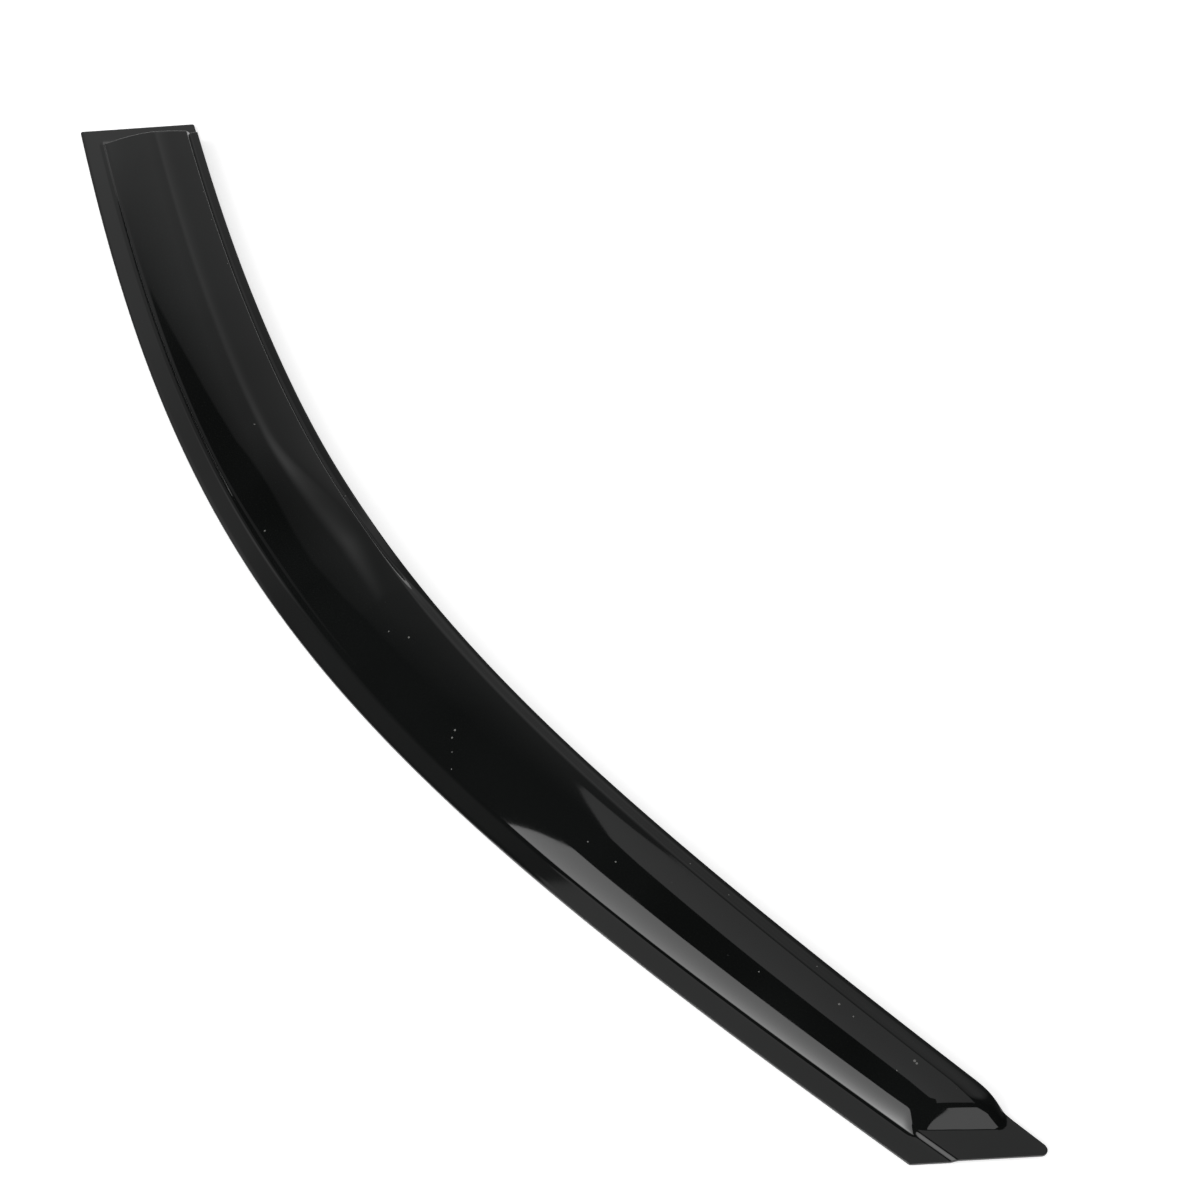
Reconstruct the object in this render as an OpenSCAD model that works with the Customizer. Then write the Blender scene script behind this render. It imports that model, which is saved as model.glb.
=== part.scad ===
// Stick-on rain deflector for the side window of a two-door car.
// It lies flange down as it would on a bench. The bowed flange edge is on the -Y side,
// the free edge is on the +Y side, the rear end is at -X and the pointed front end at +X.

/* [Outline] */
// Straight distance between the two outer corners of the flange
chord_l = 1100; // [1000:10:1200]
// Depth below the chord of the control corner of the rear half of the bowed edge
bow_rear = 146; // [130:1:160]
// Depth below the chord of the control corner of the front half of the bowed edge
bow_front = 138; // [125:1:150]
// Angle between the chord and the bowed edge at its rear corner
rear_edge_deg = 17; // [14:0.5:20]
// Angle between the chord and the bowed edge at its front corner
front_edge_deg = 17; // [14:0.5:20]
// Angle between the chord and the cut at the rear end
rear_cut_deg = 63; // [58:1:70]
// Angle between the chord and the cut at the front end
front_cut_deg = 60; // [56:1:66]
// Width from the bowed edge to the free edge over the rear half
width_rear = 92; // [86:0.5:100]
// Width from the bowed edge to the free edge at the front corner
width_front = 63.2; // [58:0.1:70]
// Distance from the rear corner at which the width starts to taper
taper_from = 260; // [200:5:450]
// How far the free edge draws in beside the nose
tuck_w = 2.6; // [0:0.1:4]
// Rounding of the two rear corners and of the front outer corner
corner_r = 2; // [1:0.5:3]
// Rounding of the pointed front tip
tip_r = 3.5; // [2:0.5:5]

/* [Flange and tabs] */
// Thickness of the acrylic sheet
sheet_t = 2.2; // [2:0.1:3]
// Width of the flat flange along the bowed edge
flange_w = 15.4; // [14.5:0.1:20]
// Width of the joggle between the flange and the body
joggle_w = 2.8; // [2.5:0.1:5]
// Height of the joggle
joggle_h = 2; // [1:0.1:3]
// Depth of the flat tab at the rear end
rear_tab_d = 18.5; // [16:0.5:22]
// Depth of the flat tab at the front end, beside the free edge
front_tab_d = 13.6; // [12:0.2:18]

/* [Body] */
// Height of the crown above the flange
crown_h = 16.7; // [14:0.1:20]
// Height of the body above the flange at the front corner
nose_h = 12.2; // [9:0.1:14]
// Distance from the rear corner at which the height starts to fall
fall_from = 590; // [500:5:700]
// Distance of the crown line from the bowed edge over the rear half
crown_w = 60; // [52:0.5:66]
// Drop from the crown line to the crest over the rear half
crest_drop = 2.4; // [1:0.1:4]
// Distance from the rear corner at which the crown line leaves for the crest
merge_from = 395; // [350:5:450]
// Distance from the rear corner at which the crown line meets the crest
merge_to = 530; // [480:5:600]
// Fullness of the body's section over the rear half, 2 is a parabola
full_rear = 1.75; // [1.5:0.05:2.5]
// Fullness of the body's section at the front corner
full_front = 2.8; // [1.8:0.05:3.2]
// Slope of the rear end wall
end_wall_deg = 62; // [50:1:68]
// Rounding of the rim between the rear end wall and the body
rim_k = 2.2; // [1:0.1:5]
// Slope of the front nose
nose_deg = 40; // [34:1:55]
// Rounding of the rim between the front nose and the body
nose_k = 4.2; // [2:0.1:6]
// How much deeper the front tab would be at the bowed edge
foot_skew = 4.3; // [0:0.1:6]
// Width beside the free edge over which the foot of the nose turns back
turn_w = 11; // [8:0.5:14]
// How far the foot of the nose has turned back at the free edge
turn_d = 11; // [6:0.5:14]

/* [Drip lip] */
// Distance from the crest to the free edge
lip_w = 9.2; // [8:0.1:12]
// Run of the shoulder between the crest and the lip over the rear half
shoulder_w = 3.2; // [2:0.1:4]
// Run of the shoulder over the front half
shoulder_front = 6.6; // [4:0.1:7]
// Drop of the shoulder
shoulder_h = 4.2; // [2:0.1:6]
// Rise of the lip from the shoulder's foot to the free edge
lip_rise = 1; // [0:0.1:2]

/* [Foam tape] */
// Thickness of the foam tape
tape_t = 0.8; // [0.8:0.1:1.6]
// Width of the foam tape
tape_w = 12; // [10:0.5:12]
// Distance of the tape from the edges of the sheet
tape_inset = 1.5; // [1:0.1:2]
// Gap between one length of tape and the next
tape_gap = 2; // [1:0.5:4]

/* [Mesh] */
// Number of steps along the body between its two ends
steps_long = 44; // [30:1:60]
// Number of steps across the body from the joggle to the crown line
steps_body = 8; // [6:1:12]

/* [Hidden] */

// Steps of the joggle, of the shoulder, and of the stretch from the crown line to the crest
steps_joggle = 4;
steps_shoulder = 4;
steps_crest = 3;
// Steps of a rounded corner, of the rear end wall and of the front nose
steps_corner = 4;
steps_wall = 6;
steps_nose = 10;
steps_turn = 4;
// Stretch over which the shoulder widens past the place where the crown line meets the crest
widen_run = 110;
// Stretch along the flange over which the cross-sections turn from the cut's direction to square
rear_turn = 260;
front_turn = 420;
// Shortest run left between the crown line and the crest
crest_run = 2;
// Power of the curve by which the width tapers, and the stretch over which the free edge draws in
taper_pow = 1.77;
tuck_run = 30;
// Powers of the curves from the crown line down to the crest, and of the nose's turned foot
crest_pow = 1.6;
turn_pow = 1.7;
// Power by which the rows of points crowd towards the root of the body
row_pow = 1.15;
// Half step of the slope's measurement, and the most that the sheet thickens measured upright
probe = 0.25;
thick_max = 1.8;
// Height of the flange's top face above the surface it lies on
face_z = tape_t + sheet_t;

function lerp(a, b, k) = a + (b - a) * k;
function clip(k) = min(1, max(0, k));
function ease(k) = let (c = clip(k)) c * c * (3 - 2 * c);
function unit(deg) = [cos(deg), sin(deg)];
function steps(n, a, b) = [for (i = [1 : n]) lerp(a, b, i / n)];

// The bowed edge of the flange is one cubic curve between the two outer corners.
rail_a = [bow_rear / tan(rear_edge_deg), -bow_rear];
rail_b = [chord_l - bow_front / tan(front_edge_deg), -bow_front];
rail_c = [chord_l, 0];
function rail(t) = 3 * (1 - t) * (1 - t) * t * rail_a + 3 * (1 - t) * t * t * rail_b + t * t * t * rail_c;
function rail_way(t) =
    let (v = (1 - t) * (1 - t) * rail_a + 2 * (1 - t) * t * (rail_b - rail_a) + t * t * (rail_c - rail_b))
    v / norm(v);

// Distance of a point from the cut at each end, measured square to the cut.
rear_cut = unit(rear_cut_deg);
front_cut = unit(front_cut_deg);
function rear_dist(p) = cross(p, rear_cut);
function front_dist(p) = cross(front_cut, p - rail_c);

// Place on the bowed edge that lies at a given distance from the cut, found by a few secant steps.
rear_rate = 3 * rear_dist(rail_a);
front_rate = 3 * front_dist(rail_b);
function rear_t(d, t = 0, n = 5) = n == 0 ? t : rear_t(d, t + (d - rear_dist(rail(t))) / rear_rate, n - 1);
function front_t(d, t = 1, n = 5) = n == 0 ? t : front_t(d, t - (d - front_dist(rail(t))) / front_rate, n - 1);

// A cross-section is a line over the sheet: its start on the bowed edge, its direction, the cosine of
// its lean from square, and how far it runs forward for each millimetre of width.
function section(t, way) =
    let (along = rail_way(t), c = cross(along, way))
    [rail(t), way, c, (along * way) / c * along[0]];
function rear_section(d) = section(rear_t(d), rear_cut);
function front_section(d) = section(front_t(d), front_cut);
function mid_section(t) =
    let (along = rail_way(t), square = atan2(along[0], -along[1]), x = rail(t)[0])
    let (a = lerp(rear_cut_deg, square, ease((x - rear_end_x) / rear_turn)))
    section(t, unit(lerp(a, front_cut_deg, ease((x - (front_end_x - front_turn)) / front_turn))));

// Point of a cross-section at width w, and the distance along the chord that its laws are read at.
function plan(s, w) = s[0] + s[1] * w / s[2];
function place(s, w) = s[0][0] + w * s[3];

// Laws along the chord: width, height, drop of the crest, crown line, crest and fullness.
function width_at(x) =
    width_rear - (width_rear - width_front) * pow(max(0, (x - taper_from) / (chord_l - taper_from)), taper_pow)
        - tuck_w * ease((x - chord_l) / tuck_run);
function edge_w(s, w = width_rear, n = 4) = n == 0 ? w : edge_w(s, width_at(place(s, w)), n - 1);
function height_at(x) = crown_h - (crown_h - nose_h) * clip((x - fall_from) / (chord_l - fall_from));
function drop_at(x) = crest_drop * (1 - ease((x - merge_from) / (merge_to - merge_from)));
function crown_at(x, crest) =
    min(crest - crest_run, lerp(crown_w, crest - crest_run, ease((x - merge_from) / (merge_to - merge_from))));
function shoulder_at(x) = lerp(shoulder_w, shoulder_front, ease((x - merge_to) / widen_run));
function full_at(x) = lerp(full_rear, full_front, ease((x - merge_to) / (chord_l - merge_to)));

// Heights above the flange of the joggle and of the body, at width w on a section of total width e.
root_w = flange_w + joggle_w;
function joggle_z(w) = joggle_h * ease((w - flange_w) / joggle_w);
function body_z(w, x, e) =
    let (crest = e - lip_w, crown = crown_at(x, crest), top = height_at(x), drop = drop_at(x))
    let (run = shoulder_at(x))
    w <= flange_w ? 0
    : w <= crown ? top * (1 - pow((crown - w) / (crown - flange_w), full_at(x)))
    : w <= crest ? top - drop * pow((w - crown) / (crest - crown), crest_pow)
    : top - drop - shoulder_h * ease((w - crest) / run)
        + lip_rise * clip((w - crest - run) / (lip_w - run));

// The rear end wall and the nose are ramps that round into the body where the two heights differ by
// less than k, or by less than the height itself. The nose ends on the joggle's level, and its foot
// turns back beside the free edge.
function soft_min(a, b, k) =
    let (r = min(k, max(a, b)), gap = max(0, r - abs(a - b)))
    r > 0 ? min(a, b) - gap * gap / (4 * r) : 0;
function wall_z(d) = max(0, d - rear_tab_d) * tan(end_wall_deg);
function nose_foot(w, e) =
    front_tab_d + foot_skew * (1 - w / e) + turn_d * pow(clip(1 - (e - w) / turn_w), turn_pow);
function nose_z(w, e, d) = max(0, d - nose_foot(w, e)) * tan(nose_deg);
function form_z(w, x, e, dr, df) =
    let (body = soft_min(body_z(w, x, e), nose_z(w, e, df), nose_k))
    soft_min(max(joggle_z(w), body), wall_z(dr), rim_k);

// Heights of the top face and of the underside at width w on section s.
function top_z(s, w) =
    let (p = plan(s, w))
    face_z + form_z(w, place(s, w), edge_w(s), rear_dist(p), front_dist(p));
function under_z(s, w) =
    let (p = plan(s, w), x = place(s, w), e = edge_w(s), dr = rear_dist(p), df = front_dist(p))
    let (across = form_z(w + probe, x, e, dr, df) - form_z(w - probe, x, e, dr, df))
    let (lengthwise = form_z(w, x, e, dr + probe, df + probe) - form_z(w, x, e, dr - probe, df - probe))
    let (slope = norm([across, lengthwise]) / (2 * probe))
    let (base = tape_t + min(joggle_z(w), wall_z(dr)))
    max(base, top_z(s, w) - sheet_t * min(thick_max, sqrt(1 + slope * slope)));

// Where each cross-section starts and ends, with the corners at both ends rounded.
function arc_half(d, r) = sqrt(max(0, r * r - (d - r) * (d - r)));
function corner_from(s, d, c, r, turn) =
    d < r * (1 + cos(turn)) ? max(0, (s[1] * (c - s[0]) - arc_half(d, r)) * s[2]) : 0;
function corner_to(s, d, c, r, turn, e) =
    d < r * (1 + cos(turn)) ? min(e, (s[1] * (c - s[0]) + arc_half(d, r)) * s[2]) : e;
rear_turn_deg = rear_edge_deg + rear_cut_deg;
front_turn_deg = front_cut_deg - front_edge_deg;
rear_outer_c = plan(rear_section(corner_r), corner_r);
rear_inner_c = plan(rear_section(corner_r), edge_w(rear_section(corner_r)) - corner_r);
front_outer_c = plan(front_section(corner_r), corner_r);
front_tip_c = plan(front_section(tip_r), edge_w(front_section(tip_r)) - tip_r);

// Widths at which the rows of points lie on a section that runs from width a to width b.
function rows(s, a, b) =
    let (crest = b - lip_w, crown = crown_at(place(s, b), crest), foot = crest + shoulder_at(place(s, b)))
    concat([a, flange_w / 2, flange_w],
        steps(steps_joggle, flange_w, root_w),
        [for (k = steps(steps_body, 0, 1)) lerp(root_w, crown, pow(k, row_pow))],
        steps(steps_crest, crown, crest),
        steps(steps_shoulder, crest, foot),
        [(foot + b) / 2, b]);

// All the cross-sections, from the rear cut to the front cut, each with its row widths.
rear_flat = concat([0], [for (i = [1 : steps_corner]) corner_r * (1 + cos(rear_turn_deg)) * i / steps_corner]);
rear_rise = (crown_h + rim_k) / tan(end_wall_deg);
rear_wall = concat([rear_tab_d / 2, rear_tab_d], steps(steps_wall, rear_tab_d, rear_tab_d + rear_rise));
rear_end_d = rear_tab_d + rear_rise + crown_h;
front_flat = [for (i = [0 : steps_corner + 3]) tip_r * (1 + cos(front_turn_deg)) * i / (steps_corner + 3)];
front_rise = front_tab_d + foot_skew + (nose_h + nose_k) / tan(nose_deg);
front_wall = concat([front_tab_d], steps(steps_nose, front_tab_d, front_rise),
    steps(steps_turn, front_rise, front_rise + turn_d));
front_end_d = front_rise + crown_h;
rear_end_t = rear_t(rear_end_d);
front_end_t = front_t(front_end_d);
rear_end_x = rail(rear_end_t)[0];
front_end_x = rail(front_end_t)[0];
function reversed(v) = [for (i = [len(v) - 1 : -1 : 0]) v[i]];
function rear_rows(d) =
    let (s = rear_section(d), e = edge_w(s))
    [s, rows(s, corner_from(s, d, rear_outer_c, corner_r, rear_turn_deg),
        corner_to(s, d, rear_inner_c, corner_r, 180 - rear_turn_deg, e))];
function front_rows(d) =
    let (s = front_section(d), e = edge_w(s))
    [s, rows(s, corner_from(s, d, front_outer_c, corner_r, 180 - front_turn_deg),
        corner_to(s, d, front_tip_c, tip_r, front_turn_deg, e))];
sections = concat(
    [for (d = concat(rear_flat, rear_wall, [rear_end_d])) rear_rows(d)],
    [for (i = [1 : steps_long - 1])
        let (s = mid_section(lerp(rear_end_t, front_end_t, i / steps_long))) [s, rows(s, 0, edge_w(s))]],
    [for (d = reversed(concat(front_flat, front_wall, [front_end_d]))) front_rows(d)]);
n_sec = len(sections);
n_row = len(sections[0][1]);

// The plan's own box puts the origin at the middle of the underside.
plan_points = [for (q = sections) for (w = q[1]) plan(q[0], w)];
low = [min([for (p = plan_points) p[0]]), min([for (p = plan_points) p[1]])];
high = [max([for (p = plan_points) p[0]]), max([for (p = plan_points) p[1]])];
middle = (low + high) / 2;

// Faces of a closed sheet: two grids of triangles and the strip that joins their borders.
function at(i, j, side) = side * n_sec * n_row + i * n_row + j;
function cell(i, j, side) = let (a = at(i, j, side), b = at(i + 1, j, side)) [[a, a + 1, b + 1], [a, b + 1, b]];
border = concat(
    [for (j = [0 : n_row - 2]) [0, j]],
    [for (i = [0 : n_sec - 2]) [i, n_row - 1]],
    [for (j = [n_row - 1 : -1 : 1]) [n_sec - 1, j]],
    [for (i = [n_sec - 1 : -1 : 1]) [i, 0]]);
shell_points = concat(
    [for (q = sections) for (w = q[1]) concat(plan(q[0], w) - middle, top_z(q[0], w))],
    [for (q = sections) for (w = q[1]) concat(plan(q[0], w) - middle, under_z(q[0], w))]);
shell_faces = concat(
    [for (i = [0 : n_sec - 2]) for (j = [0 : n_row - 2]) for (f = cell(i, j, 0)) f],
    [for (i = [0 : n_sec - 2]) for (j = [0 : n_row - 2]) for (f = cell(i, j, 1)) reversed(f)],
    [for (k = [0 : len(border) - 1])
        let (a = border[k], b = border[(k + 1) % len(border)])
        for (f = [[at(b[0], b[1], 0), at(a[0], a[1], 0), at(a[0], a[1], 1)],
                  [at(b[0], b[1], 0), at(a[0], a[1], 1), at(b[0], b[1], 1)]]) f]);

module deflector_shell() {
    color([0.03, 0.03, 0.035])
        polyhedron(points = shell_points, faces = shell_faces, convexity = 6);
}

// A length of tape covers the plan between two widths, over a list of cross-sections.
module tape(list, from_w, to_w, z) {
    outer = [for (s = list) plan(s, from_w) - middle];
    inner = [for (s = list) plan(s, to_w) - middle];
    color([0.12, 0.12, 0.12])
        translate([0, 0, z])
            linear_extrude(tape_t)
                polygon(concat(outer, reversed(inner)));
}

// The long tape lies under the flange and ends short of both cuts.
module tape_long() {
    list = concat([rear_section(tape_inset)],
        [for (q = sections) if (rear_dist(q[0][0]) > rear_tab_d && front_dist(q[0][0]) > front_tab_d) q[0]],
        [front_section(tape_inset)]);
    tape(list, tape_inset, tape_inset + tape_w, 0);
}

// The rear tab's tape starts past the long tape.
module tape_rear_tab() {
    list = [rear_section(tape_inset), rear_section(tape_inset + tape_w)];
    tape(list, tape_inset + tape_w + tape_gap, edge_w(list[0]) - tape_inset, 0);
}

// The front tab's tape starts past the joggle and is raised by it.
module tape_front_tab() {
    list = [front_section(tape_inset), front_section(tape_inset + tape_w)];
    tape(list, root_w + tape_inset, edge_w(front_section(tip_r)) - 2 * tip_r, joggle_h);
}

deflector_shell();
tape_long();
tape_rear_tab();
tape_front_tab();
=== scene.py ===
"""Looks of a stick-on rain deflector for a car's side window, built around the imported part.

The deflector is one thermoformed sheet of dark smoke acrylic, carried by three strips of foam tape.
The sheet's surface is worked out here from the same laws as the part's source, on a much finer grid,
so that the gloss shows even reflections. Lengths are metres and angles are degrees. The flange lies
down, the bowed edge is at -Y, the free edge at +Y, the rear end at -X and the pointed front at +X.
"""

import logging
from dataclasses import dataclass, field
from enum import Enum

import bpy
import numpy as np
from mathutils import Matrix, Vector


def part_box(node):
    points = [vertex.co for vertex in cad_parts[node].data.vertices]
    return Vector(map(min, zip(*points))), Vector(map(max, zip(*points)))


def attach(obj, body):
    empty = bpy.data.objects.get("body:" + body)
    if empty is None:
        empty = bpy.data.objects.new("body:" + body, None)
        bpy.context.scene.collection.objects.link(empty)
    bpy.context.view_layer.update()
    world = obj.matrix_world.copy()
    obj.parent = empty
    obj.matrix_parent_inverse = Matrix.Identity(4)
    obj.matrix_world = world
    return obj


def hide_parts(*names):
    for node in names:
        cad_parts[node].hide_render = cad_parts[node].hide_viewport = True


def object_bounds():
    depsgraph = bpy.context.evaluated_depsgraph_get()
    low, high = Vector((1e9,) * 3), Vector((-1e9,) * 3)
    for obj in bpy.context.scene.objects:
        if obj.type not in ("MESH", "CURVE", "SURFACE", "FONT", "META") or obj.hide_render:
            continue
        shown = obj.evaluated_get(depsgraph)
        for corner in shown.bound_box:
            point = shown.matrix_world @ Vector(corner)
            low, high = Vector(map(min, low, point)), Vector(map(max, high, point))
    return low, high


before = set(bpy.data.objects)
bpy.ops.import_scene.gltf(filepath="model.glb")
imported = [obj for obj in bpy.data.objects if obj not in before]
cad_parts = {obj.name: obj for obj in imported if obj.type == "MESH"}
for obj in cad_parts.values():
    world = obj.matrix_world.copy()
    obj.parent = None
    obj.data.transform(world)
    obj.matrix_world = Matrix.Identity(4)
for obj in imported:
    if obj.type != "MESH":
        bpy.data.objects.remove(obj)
CAD_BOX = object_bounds()

log = logging.getLogger("deflector")
Array = np.ndarray
MM = 0.001
TINY = 1e-9
ARC_POINTS = 12
PLACE_STEPS = 5
WIDTH_ROUNDS = 4


class Slot(Enum):
    """The material slots of the part's record."""

    ACRYLIC = "acrylic"
    FOAM_TAPE = "foam_tape"


def lerp(start: Array, end: Array, share: Array) -> Array:
    """Returns the value that lies a share of the way from start to end."""
    return start + (end - start) * share


def ease(share: Array) -> Array:
    """Returns the smooth step 3k^2 - 2k^3 of a share k, held between 0 and 1."""
    held = np.clip(share, 0.0, 1.0)
    return held * held * (3.0 - 2.0 * held)


def unit(degrees: float) -> Array:
    """Returns the unit vector in the plan at an angle from the chord."""
    angle = np.radians(degrees)
    return np.stack([np.cos(angle), np.sin(angle)], axis=-1)


def cross(first: Array, second: Array) -> Array:
    """Returns the plan's cross product of two vectors, or of two arrays of them."""
    return first[..., 0] * second[..., 1] - first[..., 1] * second[..., 0]


def stretches(counts: tuple[int, ...], ends: list[Array]) -> Array:
    """Cuts a line into stretches and divides each evenly.

    Args:
        counts: How many steps each stretch has.
        ends: The values at the stretches' ends, one more than the counts, each an array of one
            value a line.

    Returns:
        The values along each line, with the lines along the first axis.
    """
    parts = [ends[0][:, None]]
    for count, start, end in zip(counts, ends[:-1], ends[1:]):
        share = np.arange(1, count + 1) / count
        parts.append(lerp(start[:, None], end[:, None], share[None, :]))
    return np.concatenate(parts, axis=1)


def lower(first: Array, second: Array, rim: float) -> Array:
    """Returns the lower of two heights, rounded where they differ by less than the rim.

    Args:
        first: The one set of heights, none below zero.
        second: The other set.
        rim: The reach of the rounding, which shrinks with the heights near the ground.

    Returns:
        The rounded heights.
    """
    reach = np.maximum(np.minimum(rim, np.maximum(first, second)), TINY)
    gap = np.maximum(0.0, reach - np.abs(first - second))
    return np.maximum(0.0, np.minimum(first, second) - gap**2 / (4 * reach))


def arc_shares(turn: float) -> Array:
    """Returns 1 - cos(angle) for even angles up to the turn: how deep the points of an arc lie."""
    return 1 - np.cos(np.radians(np.linspace(0, turn, ARC_POINTS)))


def border(values: Array) -> Array:
    """Returns a grid's values once round its border, each point once."""
    return np.concatenate([values[0, :-1], values[:-1, -1], values[-1, :0:-1], values[:0:-1, 0]])


@dataclass(frozen=True)
class BowedEdge:
    """The flange's bowed edge: one cubic curve between its two outer corners, which lie on a chord."""

    chord: float = 1100 * MM
    bow_rear: float = 146 * MM
    bow_front: float = 138 * MM
    rear_edge_deg: float = 17.0
    front_edge_deg: float = 17.0
    rear_cut_deg: float = 63.0
    front_cut_deg: float = 60.0

    def controls(self) -> tuple[Array, Array, Array]:
        """Works out the curve's control points from the bows and the angles at its two ends.

        Returns:
            The second, the third and the fourth point. The first is the origin.
        """
        second = np.array([self.bow_rear / np.tan(np.radians(self.rear_edge_deg)), -self.bow_rear])
        third_x = self.chord - self.bow_front / np.tan(np.radians(self.front_edge_deg))
        return second, np.array([third_x, -self.bow_front]), np.array([self.chord, 0.0])

    def point(self, place: Array) -> Array:
        """Follows the curve, as the sum of its control points in their cubic shares.

        Args:
            place: Places from 0, the rear corner, to 1, the front corner.

        Returns:
            The plan points.
        """
        second, third, fourth = self.controls()
        t = np.asarray(place)[..., None]
        return 3 * (1 - t) ** 2 * t * second + 3 * (1 - t) * t**2 * third + t**3 * fourth

    def heading(self, place: Array) -> Array:
        """Works out which way the curve runs, as the sum of its control steps in quadratic shares.

        Args:
            place: Places on the curve, from 0 to 1.

        Returns:
            The unit vectors along the curve.
        """
        second, third, fourth = self.controls()
        t = np.asarray(place)[..., None]
        speed = (1 - t) ** 2 * second + 2 * (1 - t) * t * (third - second) + t**2 * (fourth - third)
        return speed / np.linalg.norm(speed, axis=-1, keepdims=True)

    def rear_distance(self, points: Array) -> Array:
        """Returns how far points lie from the rear cut, square to it."""
        return cross(points, unit(self.rear_cut_deg))

    def front_distance(self, points: Array) -> Array:
        """Returns how far points lie from the front cut, square to it."""
        return cross(unit(self.front_cut_deg), points - self.controls()[2])

    def place_at(self, distance: Array, at_rear: bool) -> Array:
        """Finds places on the curve, by steps at the curve's own rate in the corner beside a cut.

        Args:
            distance: Distances from the cut.
            at_rear: Whether the cut is the rear one.

        Returns:
            The places, from 0 to 1.
        """
        second, third, _ = self.controls()
        if at_rear:
            measure, corner, rate = self.rear_distance, 0.0, 3 * self.rear_distance(second)
        else:
            measure, corner, rate = self.front_distance, 1.0, -3 * self.front_distance(third)
        place = np.full_like(distance, corner)
        for _ in range(PLACE_STEPS):
            place = place + (distance - measure(self.point(place))) / rate
        return place


@dataclass(frozen=True)
class Sections:
    """Lines over the sheet, each from the bowed edge to the free edge.

    A point at width w lies at start + way * w / lean, and the laws along the chord are read for it
    at start_x + w * run.
    """

    start: Array
    way: Array
    lean: Array
    run: Array

    def arrays(self) -> tuple[Array, Array, Array, Array]:
        """Returns the four arrays in the order of the fields."""
        return self.start, self.way, self.lean, self.run

    def plan(self, widths: Array) -> Array:
        """Returns the plan points at the given widths, one row of widths for each section."""
        reach = (widths / self.lean[:, None])[..., None]
        return self.start[:, None, :] + self.way[:, None, :] * reach

    def place(self, widths: Array) -> Array:
        """Returns the distance along the chord at which the laws are read for the given widths."""
        return self.start[:, :1] + widths * self.run[:, None]


@dataclass(frozen=True)
class SheetGrid:
    """The sheet's points on one grid: the plan, the height of the top face and of the underside."""

    plan: Array
    top: Array
    under: Array


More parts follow.
